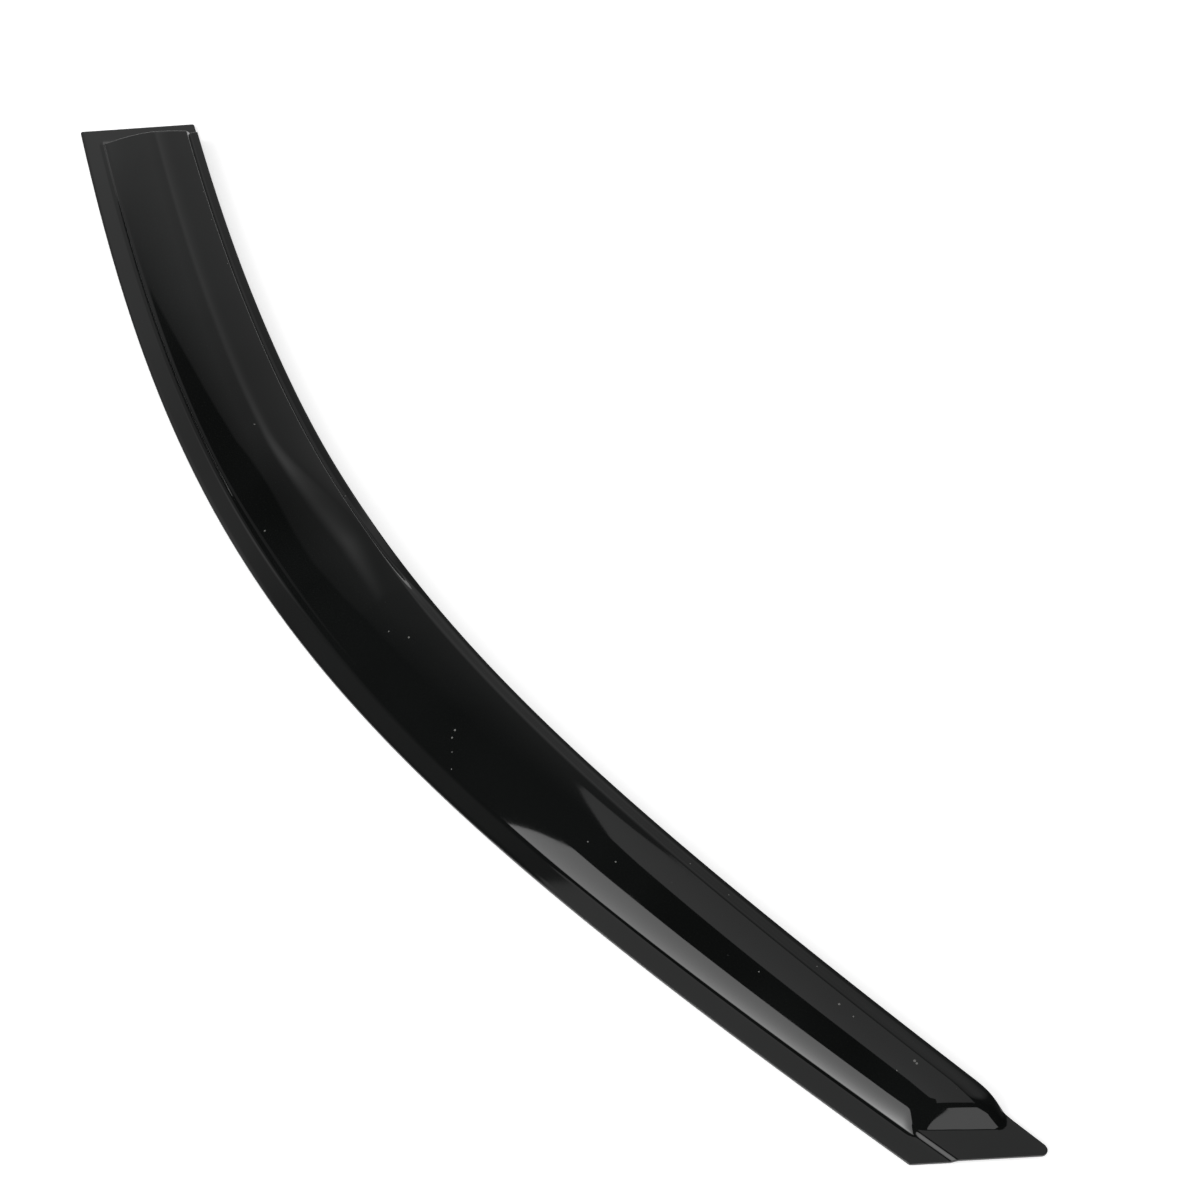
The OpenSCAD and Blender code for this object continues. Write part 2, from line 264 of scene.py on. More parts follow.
@dataclass(frozen=True)
class DeflectorForm:
    """The laws of the sheet's shape, with the driving values of the part's source.

    Some forms are finer than in the source, because the gloss shows them: the joggle, the shoulder
    and lip of the front half, the bend at the nose's foot and the eased edge.
    """

    edge: BowedEdge = field(default_factory=BowedEdge)
    width_rear: float = 92 * MM
    width_front: float = 63.2 * MM
    taper_from: float = 260 * MM
    taper_power: float = 1.77
    tuck: float = 2.6 * MM
    tuck_run: float = 30 * MM
    corner_radius: float = 2 * MM
    tip_radius: float = 3.5 * MM
    sheet: float = 2.2 * MM
    tape: float = 0.8 * MM
    flange: float = 15.4 * MM
    joggle_rear: float = 2.0 * MM
    joggle_front: float = 3.6 * MM
    joggle_rise: float = 2 * MM
    rear_tab: float = 18.5 * MM
    front_tab: float = 13.6 * MM
    crown: float = 16.7 * MM
    nose_height: float = 12.2 * MM
    fall_from: float = 590 * MM
    crown_line: float = 60 * MM
    crest_drop: float = 2.4 * MM
    crest_power: float = 1.6
    crest_run: float = 2 * MM
    merge_from: float = 395 * MM
    merge_to: float = 530 * MM
    full_rear: float = 1.75
    full_front: float = 2.8
    end_wall_deg: float = 62.0
    rim: float = 2.2 * MM
    nose_deg: float = 40.0
    nose_rim: float = 4.2 * MM
    nose_bend: float = 3 * MM
    foot_skew: float = 4.3 * MM
    turn_width: float = 11 * MM
    turn_back: float = 11 * MM
    turn_power: float = 1.7
    lip: float = 9.2 * MM
    lip_front: float = 11 * MM
    shoulder_run: float = 3.2 * MM
    shoulder_front: float = 8.8 * MM
    widen_run: float = 110 * MM
    shoulder_drop: float = 4.2 * MM
    front_drop: float = 3 * MM
    even_share: float = 0.5
    lip_fall: float = 3.2 * MM
    rear_turn: float = 260 * MM
    front_turn: float = 420 * MM
    probe: float = 0.25 * MM
    thickest: float = 1.8
    edge_radius: float = 0.35 * MM
    rear_counts: tuple[int, ...] = (3, 26, 8)
    middle_count: int = 300
    front_counts: tuple[int, ...] = (4, 30, 16, 4)
    row_counts: tuple[int, ...] = (5, 9, 40, 12, 13, 8)

    def width_at(self, x: Array) -> Array:
        """Works out the sheet's width: full at the rear, tapering by a power law, tucked at the tip.

        Args:
            x: Distances along the chord.

        Returns:
            The widths.
        """
        share = np.maximum(0.0, (x - self.taper_from) / (self.edge.chord - self.taper_from))
        tapered = self.width_rear - (self.width_rear - self.width_front) * share**self.taper_power
        return tapered - self.tuck * ease((x - self.edge.chord) / self.tuck_run)

    def edge_width(self, lines: Sections) -> Array:
        """Settles each section's whole width, by a few rounds of the width law.

        Args:
            lines: The sections.

        Returns:
            One width for each section.
        """
        width = np.full(len(lines.start), self.width_rear)
        for _ in range(WIDTH_ROUNDS):
            width = self.width_at(lines.place(width[:, None])[:, 0])
        return width

    def height_at(self, x: Array) -> Array:
        """Returns the body's height above the flange, level at first and then falling evenly."""
        share = np.clip((x - self.fall_from) / (self.edge.chord - self.fall_from), 0.0, 1.0)
        return lerp(self.crown, self.nose_height, share)

    def crown_at(self, x: Array, crest: Array) -> Array:
        """Returns the width at which the crown line lies, which moves out to the crest."""
        end = crest - self.crest_run
        return np.minimum(end, lerp(self.crown_line, end, self.merged(x)))

    def merged(self, x: Array) -> Array:
        """Returns how far the crown line has moved out to the crest, from 0 to 1."""
        return ease((x - self.merge_from) / (self.merge_to - self.merge_from))

    def widened(self, x: Array) -> Array:
        """Returns how far the shoulder has widened: 0 over the rear half, 1 over the front half."""
        return ease((x - self.merge_to) / self.widen_run)

    def lip_at(self, x: Array) -> Array:
        """Returns the distance from the crest to the free edge."""
        return lerp(self.lip, self.lip_front, self.widened(x))

    def shoulder_at(self, x: Array) -> Array:
        """Returns the shoulder's run."""
        return lerp(self.shoulder_run, self.shoulder_front, self.widened(x))

    def fullness_at(self, x: Array) -> Array:
        """Returns the power of the body's section, which grows fuller towards the front."""
        share = ease((x - self.merge_to) / (self.edge.chord - self.merge_to))
        return lerp(self.full_rear, self.full_front, share)

    def body_height(self, w: Array, x: Array, e: Array) -> Array:
        """Returns the body's height above the flange.

        It rises from the flange to the crown line as 1 - k^p, falls a little from there to the crest
        until the two merge, drops over the shoulder and runs evenly along the lip. The drop is a
        smooth step, and over the front half a mixture of that step and an even slope.

        Args:
            w: Widths of the points.
            x: Distances along the chord at which the laws are read.
            e: Whole widths of the sections.

        Returns:
            The heights.
        """
        root = self.flange
        lip = self.lip_at(x)
        crest = e - lip
        crown = self.crown_at(x, crest)
        top = self.height_at(x)
        drop = self.crest_drop * (1 - self.merged(x))
        share = np.clip((crown - w) / (crown - root), 0.0, 1.0)
        rising = top * (1 - share ** self.fullness_at(x))
        falling = top - drop * np.clip((w - crown) / (crest - crown), 0.0, 1.0) ** self.crest_power
        widened = self.widened(x)
        run = self.shoulder_at(x)
        depth = lerp(self.shoulder_drop, self.front_drop, widened)
        down = (w - crest) / run
        shoulder = depth * lerp(ease(down), np.clip(down, 0.0, 1.0), self.even_share * widened)
        level = (depth - self.lip_fall) * np.clip((w - crest - run) / (lip - run), 0.0, 1.0)
        beyond = np.where(w <= crest, falling, top - drop - shoulder + level)
        return np.where(w <= root, 0.0, np.where(w <= crown, rising, beyond))

    def joggle_at(self, x: Array) -> Array:
        """Returns the joggle's run, which is sharper at the rear than at the front."""
        return lerp(self.joggle_rear, self.joggle_front, self.merged(x))

    def joggle_height(self, w: Array, x: Array) -> Array:
        """Returns the joggle's height, a smooth step past the flange."""
        return self.joggle_rise * ease((w - self.flange) / self.joggle_at(x))

    def wall_height(self, rear: Array) -> Array:
        """Returns the height of the ramp that the rear end wall follows."""
        return np.maximum(0.0, rear - self.rear_tab) * np.tan(np.radians(self.end_wall_deg))

    def nose_height_at(self, w: Array, e: Array, front: Array) -> Array:
        """Returns the height of the ramp that the nose follows.

        The foot of the nose turns back beside the free edge. A short bend, whose height grows as the
        square of its reach, eases the ramp out of the end tab.

        Args:
            w: Widths of the points.
            e: Whole widths of the sections.
            front: Distances from the front cut.

        Returns:
            The heights.
        """
        turned = np.clip(1 - (e - w) / self.turn_width, 0.0, 1.0) ** self.turn_power
        foot = self.front_tab + self.foot_skew * (1 - w / e) + self.turn_back * turned
        reach = np.maximum(0.0, front - foot + self.nose_bend / 2)
        eased = np.minimum(reach, self.nose_bend)
        return (reach - eased + eased**2 / (2 * self.nose_bend)) * np.tan(np.radians(self.nose_deg))

    def form_height(self, w: Array, x: Array, e: Array, rear: Array, front: Array) -> Array:
        """Returns the height of the top face above the flange's.

        It is the lower of the body and the nose's ramp, or the joggle where that is higher, and
        never more than the rear wall's ramp. Rounded rims join the body to both ramps.

        Args:
            w: Widths of the points.
            x: Distances along the chord at which the laws are read.
            e: Whole widths of the sections.
            rear: Distances from the rear cut.
            front: Distances from the front cut.

        Returns:
            The heights.
        """
        body = lower(self.body_height(w, x, e), self.nose_height_at(w, e, front), self.nose_rim)
        return lower(np.maximum(self.joggle_height(w, x), body), self.wall_height(rear), self.rim)

    def section(self, place: Array, way: Array) -> Sections:
        """Lays sections from the bowed edge.

        Args:
            place: The places on the edge at which they start.
            way: The unit vectors along which they run, one for each or one for all.

        Returns:
            The sections.
        """
        along = self.edge.heading(place)
        lean = cross(along, way)
        run = np.sum(along * way, axis=-1) / lean * along[..., 0]
        return Sections(self.edge.point(place), np.broadcast_to(way, along.shape), lean, run)

    def end_distances(self) -> tuple[float, float]:
        """Returns how far from each cut the sections start to turn square to the bowed edge."""
        wall_run = (self.crown + self.rim) / np.tan(np.radians(self.end_wall_deg))
        return self.rear_tab + wall_run + self.crown, self.front_tab + self.nose_run() + self.crown

    def nose_run(self) -> float:
        """Returns how far the nose's ramp runs, with its skewed foot and its rounded rim."""
        return self.foot_skew + (self.nose_height + self.nose_rim) / np.tan(np.radians(self.nose_deg))

    def middle_rows(self, inset: float) -> tuple[Sections, Array, Array]:
        """Lays the sections between the two ends, turning smoothly from one cut to the other.

        Args:
            inset: How far inside the sheet's outline the rows stop.

        Returns:
            The sections and the widths at which each starts and ends.
        """
        rear, front = self.end_distances()
        first = self.edge.place_at(np.array([rear]), True)[0]
        last = self.edge.place_at(np.array([front]), False)[0]
        place = lerp(first, last, np.arange(1, self.middle_count) / self.middle_count)
        along = self.edge.heading(place)
        square = np.degrees(np.arctan2(along[:, 0], -along[:, 1]))
        x = self.edge.point(place)[:, 0]
        rear_x = self.edge.point(first)[0]
        front_x = self.edge.point(last)[0]
        angle = lerp(self.edge.rear_cut_deg, square, ease((x - rear_x) / self.rear_turn))
        turned = ease((x - (front_x - self.front_turn)) / self.front_turn)
        lines = self.section(place, unit(lerp(angle, self.edge.front_cut_deg, turned)))
        width = self.edge_width(lines)
        return lines, np.full_like(width, inset), width - inset

    def corner(self, lines: Sections, distance: Array, centre: Array, radius: float, side: int) -> Array:
        """Returns the widths at which the sections cross a rounded corner's circle.

        Args:
            lines: The sections near a cut, which run along it.
            distance: Their distances from the cut's inset line.
            centre: The plan point of the circle's centre.
            radius: The circle's radius.
            side: -1 for the crossing nearer to the bowed edge, 1 for the one nearer to the free edge.

        Returns:
            The widths of the crossings.
        """
        half = np.sqrt(np.maximum(0.0, radius**2 - (distance - radius) ** 2))
        reach = np.sum(lines.way * (centre - lines.start), axis=-1)
        return (reach + side * half) * lines.lean

    def end_rows(self, distance: Array, at_rear: bool, inset: float) -> tuple[Sections, Array, Array]:
        """Lays sections along one of the cuts, with the sheet's corners rounded.

        Args:
            distance: Distances from the cut.
            at_rear: Whether the cut is the rear one.
            inset: How far inside the sheet's outline the rows stop.

        Returns:
            The sections and the widths at which each starts and ends.
        """
        edge = self.edge
        if at_rear:
            way = unit(edge.rear_cut_deg)
            gap = edge.rear_cut_deg + edge.rear_edge_deg
            outer_deg, inner_deg, inner_radius = gap, 180 - gap, self.corner_radius
        else:
            way = unit(edge.front_cut_deg)
            gap = edge.front_cut_deg - edge.front_edge_deg
            outer_deg, inner_deg, inner_radius = 180 - gap, gap, self.tip_radius
        lines = self.section(edge.place_at(distance, at_rear), way)
        inner = self.edge_width(lines) - inset
        outer = np.full_like(inner, inset)
        corners = ((self.corner_radius, outer_deg, -1), (inner_radius, inner_deg, 1))
        for radius, turn, side in corners:
            centre_line = self.section(edge.place_at(np.array([radius]), at_rear), way)
            width = radius if side < 0 else self.edge_width(centre_line)[0] - radius
            centre = centre_line.plan(np.array([[width]]))[0, 0]
            crossing = self.corner(lines, distance - inset, centre, radius - inset, side)
            rounded = distance - inset < (radius - inset) * (1 + np.cos(np.radians(turn)))
            if side < 0:
                outer = np.where(rounded, np.maximum(outer, crossing), outer)
            else:
                inner = np.where(rounded, np.minimum(inner, crossing), inner)
        return lines, outer, inner

    def grid(self, inset: float) -> SheetGrid:
        """Works out the sheet's points on a grid of sections by rows.

        The sections run from the rear cut to the front cut, close together on the rear end wall and
        on the nose. The rows run from the bowed edge to the free edge, close together on the joggle
        and on the shoulder.

        Args:
            inset: How far inside the sheet's outline the grid stops.

        Returns:
            The plan points and the heights of both faces.
        """
        edge = self.edge
        rear_far, front_far = self.end_distances()
        rear_top = rear_far - self.crown
        nose_top = self.front_tab + self.nose_run()
        rear_turn = 180 - edge.rear_cut_deg - edge.rear_edge_deg
        front_turn = 180 - edge.front_cut_deg + edge.front_edge_deg
        rear_arc = (self.corner_radius - inset) * arc_shares(rear_turn)
        front_arc = (self.tip_radius - inset) * arc_shares(front_turn)
        rear_stops = [inset + rear_arc[-1], self.rear_tab, rear_top, rear_far]
        bend = self.front_tab - self.nose_bend / 2
        front_stops = [inset + front_arc[-1], bend, nose_top, nose_top + self.turn_back, front_far]
        rear = stretches(self.rear_counts, [np.array([d]) for d in rear_stops])[0]
        front = stretches(self.front_counts, [np.array([d]) for d in front_stops])[0]
        parts = [
            self.end_rows(np.concatenate([inset + rear_arc[:-1], rear]), True, inset),
            self.middle_rows(inset),
            self.end_rows(np.concatenate([inset + front_arc[:-1], front])[::-1], False, inset),
        ]
        fields = zip(*(part[0].arrays() for part in parts))
        lines = Sections(*(np.concatenate(arrays) for arrays in fields))
        outer = np.concatenate([part[1] for part in parts])
        inner = np.concatenate([part[2] for part in parts])
        widths = self.row_widths(lines, outer, inner)
        plan = lines.plan(widths)
        return SheetGrid(plan, *self.heights(lines, widths, plan))

    def row_widths(self, lines: Sections, outer: Array, inner: Array) -> Array:
        """Divides each section into its rows.

        Args:
            lines: The sections.
            outer: The width at which each starts.
            inner: The width at which each ends.

        Returns:
            The widths of the rows, with the sections along the first axis.
        """
        x = lines.place(inner[:, None])[:, 0]
        crest = inner - self.lip_at(x)
        crown = self.crown_at(x, crest)
        flange = np.full_like(outer, self.flange)
        foot = crest + self.shoulder_at(x)
        ends = [outer, flange, flange + self.joggle_at(x), crown, crest, foot, inner]
        return stretches(self.row_counts, ends)

    def heights(self, lines: Sections, widths: Array, plan: Array) -> tuple[Array, Array]:
        """Works out the heights of the top face and of the underside.

        The underside lies a sheet's thickness below the top, measured square to the slope, and never
        below the tape.

        Args:
            lines: The sections.
            widths: The widths of the points on each section.
            plan: The plan points.

        Returns:
            The heights of the top face and of the underside above the ground.
        """
        x = lines.place(widths)
        e = np.broadcast_to(self.edge_width(lines)[:, None], widths.shape)
        rear = self.edge.rear_distance(plan)
        front = self.edge.front_distance(plan)
        form = self.form_height(widths, x, e, rear, front)
        step = self.probe
        inward = self.form_height(widths + step, x, e, rear, front)
        outward = self.form_height(widths - step, x, e, rear, front)
        forward = self.form_height(widths, x, e, rear + step, front + step)
        backward = self.form_height(widths, x, e, rear - step, front - step)
        slope = np.hypot(inward - outward, forward - backward) / (2 * step)
        top = self.tape + self.sheet + form
        base = self.tape + np.minimum(self.joggle_height(widths, x), self.wall_height(rear))
        upright = self.sheet * np.minimum(self.thickest, np.sqrt(1 + slope**2))
        return top, np.maximum(base, top - upright)


def new_object(name: str, points: Array, faces: Array) -> bpy.types.Object:
    """Makes a mesh object at the origin.

    Args:
        name: The name of the object and its mesh.
        points: The points, one row each.
        faces: The faces, one row of point numbers each.

    Returns:
        The object.
    """
    mesh = bpy.data.meshes.new(name)
    mesh.from_pydata(points.tolist(), [], faces.tolist())
    made = bpy.data.objects.new(name, mesh)
    bpy.context.scene.collection.objects.link(made)
    return made


def new_piece(name: str, points: Array, faces: Array) -> bpy.types.Object:
    """Makes a smooth-shaded mesh object that rides on the part's one body.

    Args:
        name: The piece's name.
        points: The points, one row each.
        faces: The faces, one row of point numbers each.

    Returns:
        The piece's object.
    """
    piece = new_object(name, points, faces)
    mesh = piece.data
    mesh.polygons.foreach_set("use_smooth", np.ones(len(mesh.polygons), bool))
    mesh.update()
    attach(piece, "root")
    log.info("%s: %d points, %d faces", name, len(mesh.vertices), len(mesh.polygons))
    return piece


class Kit:
    """Builds the node tree of one material, or of the world, from an empty start."""

    def __init__(self, tree: bpy.types.NodeTree) -> None:
        """Takes over a node tree and clears it."""
        self.tree = tree
        tree.nodes.clear()

    def node(self, kind: str, settings: dict | None = None, values: dict | None = None) -> bpy.types.Node:
        """Adds a node of any type.

        Args:
            kind: The node's type.
            settings: The node's own settings, which are set before its sockets.
            values: A number, a colour or a link for each of its sockets, by name or by place.

        Returns:
            The new node.
        """
        made = self.tree.nodes.new(kind)
        for name, setting in (settings or {}).items():
            setattr(made, name, setting)
        for name, value in (values or {}).items():
            socket = value.socket if isinstance(value, Level) else value
            if isinstance(socket, bpy.types.NodeSocket):
                self.tree.links.new(socket, made.inputs[name])
            else:
                made.inputs[name].default_value = socket
        return made

    def level(self, operation: str, *terms: "Level | float") -> "Level":
        """Returns the result of a Math node."""
        made = self.node("ShaderNodeMath", {"operation": operation}, dict(enumerate(terms)))
        return Level(self, made.outputs[0])

    def vector(self, operation: str, *terms: object) -> bpy.types.NodeSocket:
        """Returns the vector that comes out of a Vector Math node."""
        made = self.node("ShaderNodeVectorMath", {"operation": operation}, dict(enumerate(terms)))
        return made.outputs[0]

    def measure(self, operation: str, *terms: object) -> "Level":
        """Returns the number that comes out of a Vector Math node, such as a dot product."""
        made = self.node("ShaderNodeVectorMath", {"operation": operation}, dict(enumerate(terms)))
        return Level(self, made.outputs["Value"])

    def ramp(
        self, value: "Level", low: float, high: float, start: float = 0.0, end: float = 1.0
    ) -> "Level":
        """Adds a smooth step, level before it and after it.

        Args:
            value: The number that the step follows.
            low: Where the step starts.
            high: Where it ends.
            start: The result before it.
            end: The result after it.

        Returns:
            The stepped number.
        """
        terms = dict(enumerate((value, low, high, start, end)))
        made = self.node("ShaderNodeMapRange", {"interpolation_type": "SMOOTHSTEP"}, terms)
        return Level(self, made.outputs[0])

    def mix(self, share: "Level | float", first: object, second: object) -> bpy.types.NodeSocket:
        """Returns a colour that goes from the first, socket 6, to the second, socket 7, by a share."""
        terms = {0: share, 6: first, 7: second}
        return self.node("ShaderNodeMix", {"data_type": "RGBA"}, terms).outputs[2]

    def noise(self, place: object, scale: float, detail: float = 2.0, rough: float = 0.5) -> "Level":
        """Returns a noise between 0 and 1, whose patches are about one part in scale of a metre."""
        values = {"Vector": place, "Scale": scale, "Detail": detail, "Roughness": rough}
        return Level(self, self.node("ShaderNodeTexNoise", None, values).outputs[0])

    def rays(self, *kinds: str) -> "Level":
        """Marks the rays of some kinds.

        Args:
            kinds: The kinds, as the Light Path node names them.

        Returns:
            1 on a ray of any of the kinds and 0 on all others.
        """
        path = self.node("ShaderNodeLightPath")
        marks = [Level(self, path.outputs[kind]) for kind in kinds]
        return self.level("MINIMUM", sum(marks[1:], marks[0]), 1.0)

    def surface(self, shader: bpy.types.Node) -> None:
        """Ends a material's tree in a shader."""
        self.node("ShaderNodeOutputMaterial", None, {"Surface": shader.outputs[0]})

    def principled(self, values: dict, relief: dict) -> None:
        """Ends a material's tree in a Principled shader with a bump.

        Args:
            values: The shader's values and links, by socket.
            relief: The bump's strength, depth and height, by socket.
        """
        bump = self.node("ShaderNodeBump", None, relief)
        values = values | {"Normal": bump.outputs[0]}
        self.surface(self.node("ShaderNodeBsdfPrincipled", None, values))


@dataclass(frozen=True)
class Level:
    """A number that varies over a surface. Arithmetic on it adds Math nodes."""

    kit: Kit
    socket: bpy.types.NodeSocket

    def __add__(self, other: "Level | float") -> "Level":
        """Returns the sum."""
        return self.kit.level("ADD", self, other)

    def __sub__(self, other: "Level | float") -> "Level":
        """Returns the difference."""
        return self.kit.level("SUBTRACT", self, other)

    def __rsub__(self, other: "Level | float") -> "Level":
        """Returns the difference from another value."""
        return self.kit.level("SUBTRACT", other, self)

    def __mul__(self, other: "Level | float") -> "Level":
        """Returns the product."""
        return self.kit.level("MULTIPLY", self, other)

    def __lt__(self, other: "Level | float") -> "Level":
        """Returns 1 where this value is the smaller one, and otherwise 0."""
        return self.kit.level("LESS_THAN", self, other)

    def __gt__(self, other: "Level | float") -> "Level":
        """Returns 1 where this value is the larger one, and otherwise 0."""
        return self.kit.level("GREATER_THAN", self, other)

    __radd__ = __add__
    __rmul__ = __mul__


Colour = tuple[float, float, float, float]
Span = tuple[float, float]
Step = tuple[float, float, float, float]


def new_material(name: str) -> tuple[bpy.types.Material, Kit]:
    """Makes a new material with nodes.

    Args:
        name: The material's name.
    """
    material = bpy.data.materials.new(name)
    material.use_nodes = True
    return material, Kit(material.node_tree)


def dress(piece: bpy.types.Object, material: bpy.types.Material) -> None:
    """Gives a whole piece one material."""
    piece.data.materials.clear()
    piece.data.materials.append(material)


@dataclass(frozen=True)
class Dust:
    """Specks of dust on the sheet: a few that stand out, each in its place, and a fine sprinkling.

    A place is a speck's X, its Y and its radius, in millimetres.
    """

    places: tuple[tuple[float, float, float], ...] = (
        (136, -49, 0.7), (57, -37, 0.7), (139, -53, 0.6), (433, 35, 0.7), (-89, -69, 0.6),
        (44, -45, 0.5), (-174, -31, 0.6), (-80, -9, 0.5), (147, -58, 0.4), (156, -64, 0.4),
        (278, -19, 0.5), (256, -25, 0.5), (336, 25, 0.4), (305, 18, 0.4), (405, 40, 0.4),
        (444, 37, 0.5), (-341, 33, 0.4), (-394, 46, 0.4), (-428, 56, 0.4), (486, 49, 0.8),
        (488, 49, 0.7), (485, 37, 0.4), (389, 9, 0.4),
    )
    fine_scale: float = 55.0
    fine_size: float = 0.02
    fine_share: float = 0.35

    def mask(self, kit: Kit, place: object) -> Level:
        """Works out where the dust lies.

        A speck is the disc round its point. The fine ones lie at the points of a flat cell pattern,
        in the cells whose own random colour is low enough.

        Args:
            kit: The material's kit.
            place: The point on the surface.

        Returns:
            1 on a speck and 0 off it.
        """
        flat = kit.vector("MULTIPLY", place, (1.0, 1.0, 0.0))
        settings = {"voronoi_dimensions": "2D"}
        cells = kit.node("ShaderNodeTexVoronoi", settings, {"Vector": flat, "Scale": self.fine_scale})
        chance = kit.measure("LENGTH", cells.outputs["Color"])
        near = Level(kit, cells.outputs["Distance"]) < chance * self.fine_size
        total = near * (chance < self.fine_share)
        for x, y, size in self.places:
            reach = kit.measure("DISTANCE", flat, (x * MM, y * MM, 0.0))
            total = kit.level("MAXIMUM", total, reach < size * MM)
        return total


@dataclass(frozen=True)
class SmokeAcrylic:
    """Dark smoke acrylic with a clean gloss: near black in the mass, with faint handling marks."""

    deep: Colour = (0.0032, 0.0036, 0.0034, 1.0)
    pale: Colour = (0.0052, 0.0058, 0.0056, 1.0)
    cloud_scale: float = 7.0
    cloud_span: Span = (0.35, 0.65)
    dust: Dust = field(default_factory=Dust)
    dust_colour: Colour = (0.14, 0.14, 0.135, 1.0)
    dust_rough: float = 0.6
    gloss: float = 0.03
    smear_rough: float = 0.035
    smear_scale: float = 28.0
    smear_span: Span = (0.5, 0.75)
    grain_rough: float = 0.01
    grain_scale: float = 900.0
    grain_height: float = 0.002
    ripple_scale: float = 16.0
    bump: float = 0.25
    bump_depth: float = 0.0003
    ior: float = 1.49

    def material(self) -> bpy.types.Material:
        """Builds the material: a slow cloud of two near blacks under smears, grain, ripple and dust.

        Returns:
            The material.
        """
        material, kit = new_material("smoke_acrylic")
        place = kit.node("ShaderNodeTexCoord").outputs["Object"]
        dust = self.dust.mask(kit, place)
        cloud = kit.ramp(kit.noise(place, self.cloud_scale, detail=3.0), *self.cloud_span)
        colour = kit.mix(dust, kit.mix(cloud, self.deep, self.pale), self.dust_colour)
        smears = kit.noise(place, self.smear_scale, detail=5.0, rough=0.6)
        smears = kit.ramp(smears, *self.smear_span)
        grain = kit.noise(place, self.grain_scale, detail=1.0)
        rough = self.gloss + smears * self.smear_rough + grain * self.grain_rough + dust * self.dust_rough
        height = kit.noise(place, self.ripple_scale, detail=1.0) + grain * self.grain_height
        relief = {"Strength": self.bump, "Distance": self.bump_depth, "Height": height}
        kit.principled({"Base Color": colour, "Roughness": rough, "IOR": self.ior}, relief)
        return material


@dataclass(frozen=True)
class FoamTape:
    """Black closed-cell foam tape: matt, with fine cells and a slightly uneven tone."""

    dark: Colour = (0.022, 0.022, 0.022, 1.0)
    light: Colour = (0.06, 0.06, 0.062, 1.0)
    cell_scale: float = 2600.0
    cell_span: Span = (0.15, 0.7)
    tone_scale: float = 90.0
    tone_span: Span = (0.3, 0.7)
    tone_share: float = 0.5
    matt: float = 0.8
    wall_matt: float = 0.15
    bump: float = 0.6
    bump_depth: float = 0.0002

    def material(self) -> bpy.types.Material:
        """Builds the material: fine raised cell walls over a slow change of tone.

        Returns:
            The material.
        """
        material, kit = new_material(Slot.FOAM_TAPE.value)
        place = kit.node("ShaderNodeTexCoord").outputs["Object"]
        cells = kit.node("ShaderNodeTexVoronoi", None, {"Vector": place, "Scale": self.cell_scale})
        wall = kit.ramp(Level(kit, cells.outputs["Distance"]), *self.cell_span)
        tone = kit.ramp(kit.noise(place, self.tone_scale, detail=3.0), *self.tone_span)
        tone = tone * self.tone_share + wall * (1 - self.tone_share)
        colour = kit.mix(tone, self.dark, self.light)
        relief = {"Strength": self.bump, "Distance": self.bump_depth, "Height": wall}
        kit.principled({"Base Color": colour, "Roughness": self.matt + wall * self.wall_matt}, relief)
        return material


@dataclass(frozen=True)
class AcrylicSheet:
    """The deflector's own sheet: the top face, the underside and an eased edge all round."""

    form: DeflectorForm = field(default_factory=DeflectorForm)
    edge_steps: int = 4
    finish: SmokeAcrylic = field(default_factory=SmokeAcrylic)

    def build(self) -> None:
        """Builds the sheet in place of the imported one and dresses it."""
        points, faces = self.surface()
        piece = new_piece("acrylic_sheet", points, faces)
        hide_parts("deflector_shell")
        dress(piece, self.finish.material())

    def middle(self) -> Array:
        """Finds the plan point of the laws' frame that lies on the part's origin.

        Returns:
            The point, which sets the sheet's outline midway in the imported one's box.
        """
        plan = self.form.grid(0.0).plan
        low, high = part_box("deflector_shell")
        return (plan.min((0, 1)) + plan.max((0, 1)) - np.array((low + high)[:2])) / 2

    def surface(self) -> tuple[Array, Array]:
        """Joins the two faces of the sheet by rings that round the edge over.

        A ring at angle a lies radius * (1 - sin a) inside the outline and radius * (1 - cos a) below
        the top face, or above the underside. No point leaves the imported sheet's box.

        Returns:
            The points and the four-sided faces.
        """
        radius = self.form.edge_radius
        middle = self.middle()
        inner = self.form.grid(radius)
        loops = []
        angles = np.radians(90.0) * np.arange(1, self.edge_steps + 1) / self.edge_steps
        rings = [(self.form.grid(radius * (1 - np.sin(a))), radius * (1 - np.cos(a))) for a in angles]
        for ring, depth in rings:
            loops.append((border(ring.plan), border(ring.top) - depth))
        for ring, depth in reversed(rings):
            loops.append((border(ring.plan), border(ring.under) + depth))
        flat = inner.plan.reshape(-1, 2)
        sheets = [(flat, inner.top.ravel()), (flat, inner.under.ravel())]
        points = np.concatenate([np.column_stack([plan - middle, z]) for plan, z in sheets + loops])
        low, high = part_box("deflector_shell")
        return np.clip(points, np.array(low), np.array(high)), self.faces(inner.top.shape, len(loops))

    def faces(self, shape: tuple[int, int], ring_count: int) -> Array:
        """Numbers the faces of the two grids and of the strips between their borders.

        Args:
            shape: The grid's numbers of sections and rows.
            ring_count: How many rings join the two borders.

        Returns:
            The point numbers of the four-sided faces.
        """
        top = np.arange(shape[0] * shape[1]).reshape(shape)
        cells = np.stack([top[:-1, :-1], top[1:, :-1], top[1:, 1:], top[:-1, 1:]], axis=-1).reshape(-1, 4)
        rim = border(top)
        first = 2 * top.size
        loops = [rim]
        loops += [first + len(rim) * ring + np.arange(len(rim)) for ring in range(ring_count)]
        loops.append(rim + top.size)
        strips = []
        for above, below in zip(loops[:-1], loops[1:]):
            strips.append(np.stack([above, np.roll(above, -1), np.roll(below, -1), below], axis=-1))
        return np.concatenate([cells, cells[:, ::-1] + top.size] + strips)


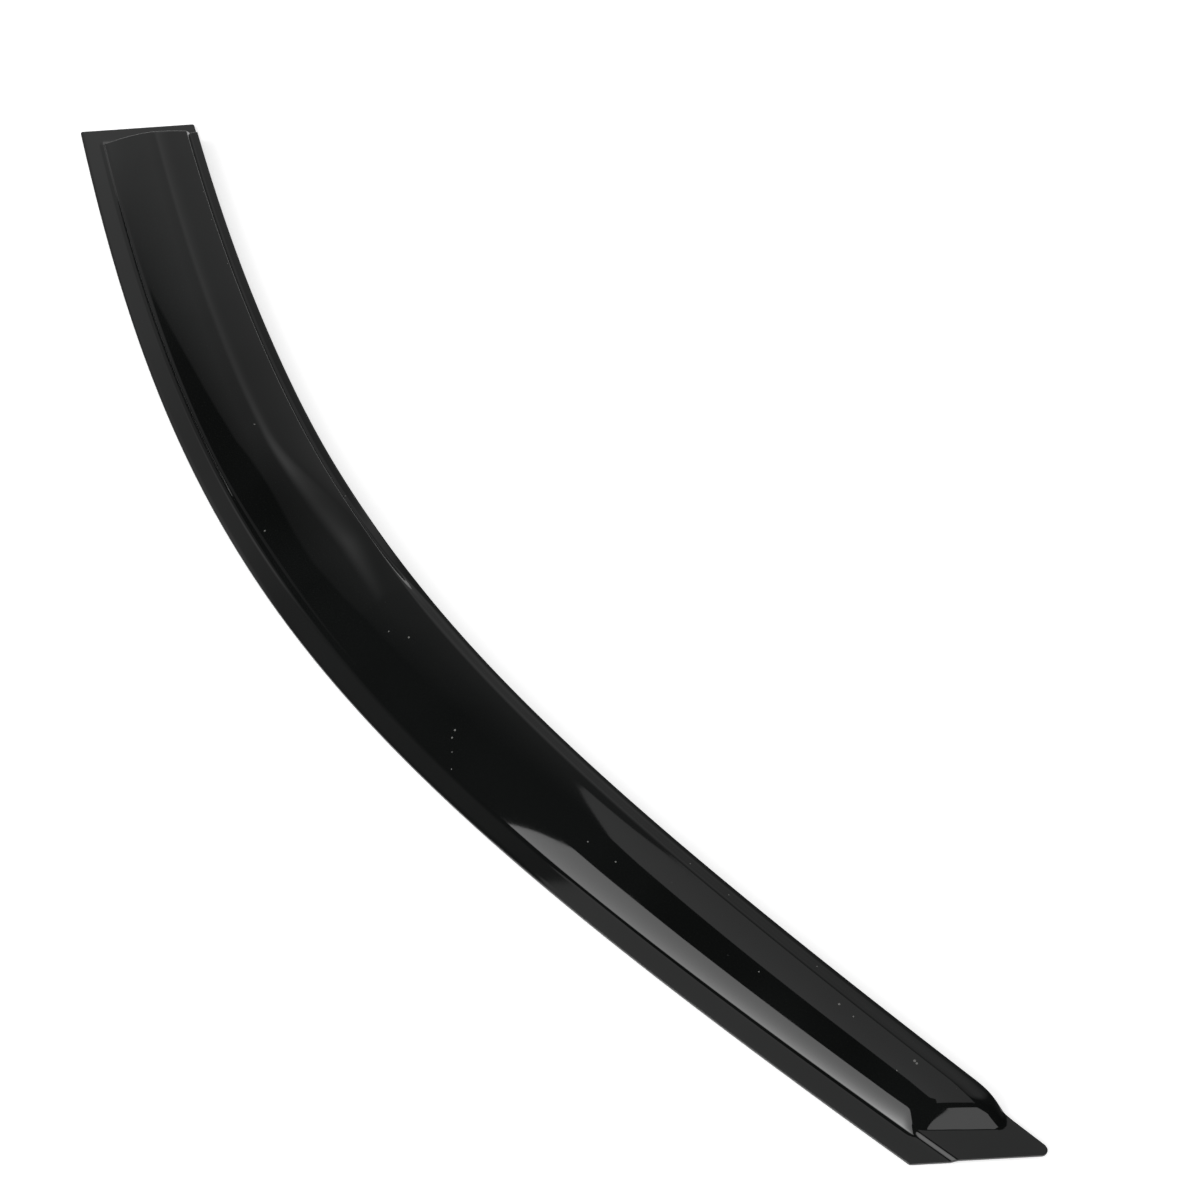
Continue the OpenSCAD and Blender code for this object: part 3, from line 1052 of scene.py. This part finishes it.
@dataclass(frozen=True)
class FoamTapes:
    """The three strips of foam tape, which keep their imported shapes."""

    nodes: tuple[str, ...] = ("tape_long", "tape_rear_tab", "tape_front_tab")
    finish: FoamTape = field(default_factory=FoamTape)

    def build(self) -> None:
        """Dresses the strips."""
        material = self.finish.material()
        for name in self.nodes:
            dress(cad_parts[name], material)
            log.info("%s: dressed", name)


@dataclass(frozen=True)
class Panel:
    """A flat glowing panel that hangs level over the object.

    Its corners are given as seen from the object: how far each lies to the camera's right and away
    from the camera, as shares of the panel's height. Its glow goes smoothly from its right end to
    its left end.
    """

    name: str
    corners: tuple[tuple[float, float], ...]
    right_glow: float
    left_glow: float
    height: float = 30.0


KEY_CORNERS = (
    (-0.67, 0.01), (-0.645, -0.15), (-0.61, -0.4), (-0.61, -1.7), (-2.6, -2.5), (-2.6, -0.83),
)
TOP_CORNERS = (
    (-0.205, 0.38), (-0.2, 0.35), (-0.08, 0.23), (0.0, 0.08), (0.02, -0.25), (0.3, -0.25), (0.3, 0.63),
    (-0.025, 0.635), (-0.06, 0.595), (-0.12, 0.507),
)
NEAR_CORNERS = ((0.15, -0.7), (0.9, -0.7), (0.9, -2.4), (0.33, -2.4))


@dataclass(frozen=True)
class Backdrop:
    """The lit backdrop that a mirror ray meets beyond the panels, with a brighter strip on it.

    A ray's place is given as a panel's corner is: how far it gets to the camera's right, and away
    from the camera, while it rises by one. A span or a step starts and ends at such places, and the
    turn's at angles in radians. A step's last two numbers are its results before and after.
    """

    level: float = 0.112
    lowest_rise: float = 0.02
    side_slope: float = 0.67
    side_start: float = 0.02
    side_span: Span = (-0.02, 0.02)
    near_start: float = 0.53
    corner_start: float = 0.65
    corner_slope: float = 0.3
    near_span: Span = (-0.2, 0.08)
    gain: float = 0.36
    left_gain: float = 0.136
    most_gain: float = 0.36
    turn: Step = (0.75, 0.95, 1.0, 0.2)
    far_right: Step = (0.65, 1.0, 1.0, 0.72)
    strip_left: Span = (-0.5, -0.37)
    strip_right: Step = (-0.36, -0.1, 1.0, 0.0)
    strip_glow: Step = (0.7, 1.0, 0.62, 0.18)
    strip_start: Span = (1.0, 1.13)

    def glow(self, kit: Kit, aside: Level, ahead: Level, up: Level) -> Level:
        """Works out how bright the backdrop is where a ray meets it.

        The backdrop starts behind a slanted side edge and a near edge. It brightens in proportion to
        how far inside both edges the ray goes, up to a limit, and more steeply to the left. It darkens
        where the ray turns far to the right.

        Args:
            kit: The world's kit.
            aside: The ray's share to the camera's right.
            ahead: Its share away from the camera.
            up: Its share upwards.

        Returns:
            The brightness, where 1 is white.
        """
        rise = kit.level("MAXIMUM", up, self.lowest_rise)
        right = kit.level("DIVIDE", aside, rise)
        away = kit.level("DIVIDE", ahead, rise)
        leftward = kit.level("MINIMUM", right, 0.0)
        side = away + right * self.side_slope - self.side_start
        corner = away - leftward * self.corner_slope - self.corner_start
        near = kit.level("MINIMUM", away - self.near_start, corner)
        inside = kit.level("MAXIMUM", kit.level("MINIMUM", side, near), 0.0)
        gain = kit.level("MINIMUM", inside * (self.gain - leftward * self.left_gain), self.most_gain)
        strip = kit.ramp(right, *self.strip_left) * kit.ramp(right, *self.strip_right)
        strip = strip * kit.ramp(away, *self.strip_glow) * kit.ramp(away - right, *self.strip_start)
        turned = kit.ramp(kit.level("ARCTAN2", aside, ahead), *self.turn)
        turned = turned * kit.ramp(right, *self.far_right)
        edges = kit.ramp(side, *self.side_span) * kit.ramp(near, *self.near_span)
        return edges * (self.level + gain + strip) * turned


@dataclass(frozen=True)
class Studio:
    """The pale floor, the panels, the world and the camera.

    The azimuth is the direction to the camera's right. The overhead level is what a mirror ray meets
    off the backdrop, and the soft light's is what all other rays meet. The floor's lift is a little
    light of its own, which only the rays that look at it see.
    """

    azimuth: float = 56.6866
    eye: tuple[float, float, float] = (0.9032368, -0.4413705, 1.1635490)
    target: tuple[float, float, float] = (0.0879096, 0.0944719, 0.0008191)
    view_angle: float = 30.2
    film: float = 36.0
    floor_half: float = 9.0
    floor_steps: int = 24
    floor_white: Colour = (0.92, 0.92, 0.92, 1.0)
    floor_lift: float = 0.46
    white: Colour = (1.0, 1.0, 1.0, 1.0)
    overhead: float = 0.02
    soft_light: float = 0.576
    panels: tuple[Panel, ...] = (
        Panel("key_panel", KEY_CORNERS, 2.6, 9.2),
        Panel("top_panel", TOP_CORNERS, 0.54, 0.72),
        Panel("near_panel", NEAR_CORNERS, 1.65, 1.65),
    )
    backdrop: Backdrop = field(default_factory=Backdrop)

    def axes(self) -> tuple[Vector, Vector]:
        """Returns the unit vectors on the floor to the camera's right and away from it."""
        angle = np.radians(self.azimuth)
        return Vector((np.cos(angle), np.sin(angle), 0)), Vector((-np.sin(angle), np.cos(angle), 0))

    def build(self) -> None:
        """Builds the whole studio."""
        self.build_floor()
        self.build_world()
        for panel in self.panels:
            self.build_panel(panel)
        self.build_camera()
        log.info("studio: floor, world, %d panels and camera", len(self.panels))

    def build_floor(self) -> None:
        """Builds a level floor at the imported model's lowest point, with a little light of its own."""
        line = np.linspace(-self.floor_half, self.floor_half, self.floor_steps)
        across, along = np.meshgrid(line, line, indexing="ij")
        points = np.stack([across, along, np.full_like(across, CAD_BOX[0].z)], axis=-1).reshape(-1, 3)
        number = np.arange(len(points)).reshape(across.shape)
        corners = [number[:-1, :-1], number[1:, :-1], number[1:, 1:], number[:-1, 1:]]
        floor = new_object("floor", points, np.stack(corners, axis=-1).reshape(-1, 4))
        material, kit = new_material("pale_floor")
        diffuse = kit.node("ShaderNodeBsdfDiffuse", None, {"Color": self.floor_white})
        seen = kit.rays("Is Camera Ray", "Is Glossy Ray", "Is Transmission Ray")
        lift = kit.node("ShaderNodeEmission", None, {"Strength": seen * self.floor_lift})
        kit.surface(kit.node("ShaderNodeAddShader", None, {0: diffuse.outputs[0], 1: lift.outputs[0]}))
        dress(floor, material)

    def build_world(self) -> None:
        """Builds the world: white to the camera, the backdrop to mirror rays, soft light to the rest."""
        world = bpy.data.worlds.new("studio")
        bpy.context.scene.world = world
        world.use_nodes = True
        kit = Kit(world.node_tree)
        way = kit.node("ShaderNodeTexCoord").outputs["Generated"]
        axes = (*self.axes(), (0.0, 0.0, 1.0))
        aside, ahead, up = (kit.measure("DOT_PRODUCT", way, tuple(axis)) for axis in axes)
        room = self.backdrop.glow(kit, aside, ahead, up) + self.overhead
        camera = kit.rays("Is Camera Ray")
        mirror = kit.rays("Is Glossy Ray", "Is Transmission Ray")
        strength = camera + (1.0 - camera) * (mirror * room + (1.0 - mirror) * self.soft_light)
        light = kit.node("ShaderNodeBackground", None, {"Color": self.white, "Strength": strength})
        kit.node("ShaderNodeOutputWorld", None, {"Surface": light.outputs[0]})

    def build_panel(self, panel: Panel) -> None:
        """Hangs one panel, which the camera itself doesn't see.

        Args:
            panel: The panel.
        """
        right, away = (np.array(axis) for axis in self.axes())
        plan = np.array(panel.corners) * panel.height
        points = plan[:, :1] * right + plan[:, 1:] * away + np.array([0.0, 0.0, panel.height])
        hung = new_object(panel.name, points, np.arange(len(points))[None, :])
        hung.visible_camera = False
        material, kit = new_material(panel.name)
        place = kit.node("ShaderNodeTexCoord").outputs["Object"]
        across = kit.measure("DOT_PRODUCT", place, tuple(right))
        glow = kit.ramp(across, plan[:, 0].max(), plan[:, 0].min(), panel.right_glow, panel.left_glow)
        kit.surface(kit.node("ShaderNodeEmission", None, {"Strength": glow}))
        dress(hung, material)

    def build_camera(self) -> None:
        """Sets up the camera."""
        data = bpy.data.cameras.new("camera")
        data.sensor_width = self.film
        data.lens = self.film / 2 / np.tan(np.radians(self.view_angle / 2))
        camera = bpy.data.objects.new("camera", data)
        camera.location = self.eye
        view = Vector(self.target) - Vector(self.eye)
        camera.rotation_euler = view.to_track_quat("-Z", "Y").to_euler()
        bpy.context.scene.collection.objects.link(camera)
        bpy.context.scene.camera = camera


def main() -> None:
    """Builds the deflector's pieces and then the studio round them."""
    logging.basicConfig(level=logging.INFO, format="%(name)s: %(message)s")
    bpy.context.scene.view_settings.view_transform = "Standard"
    for assembly in (AcrylicSheet(), FoamTapes(), Studio()):
        assembly.build()


if __name__ == "__main__":
    main()
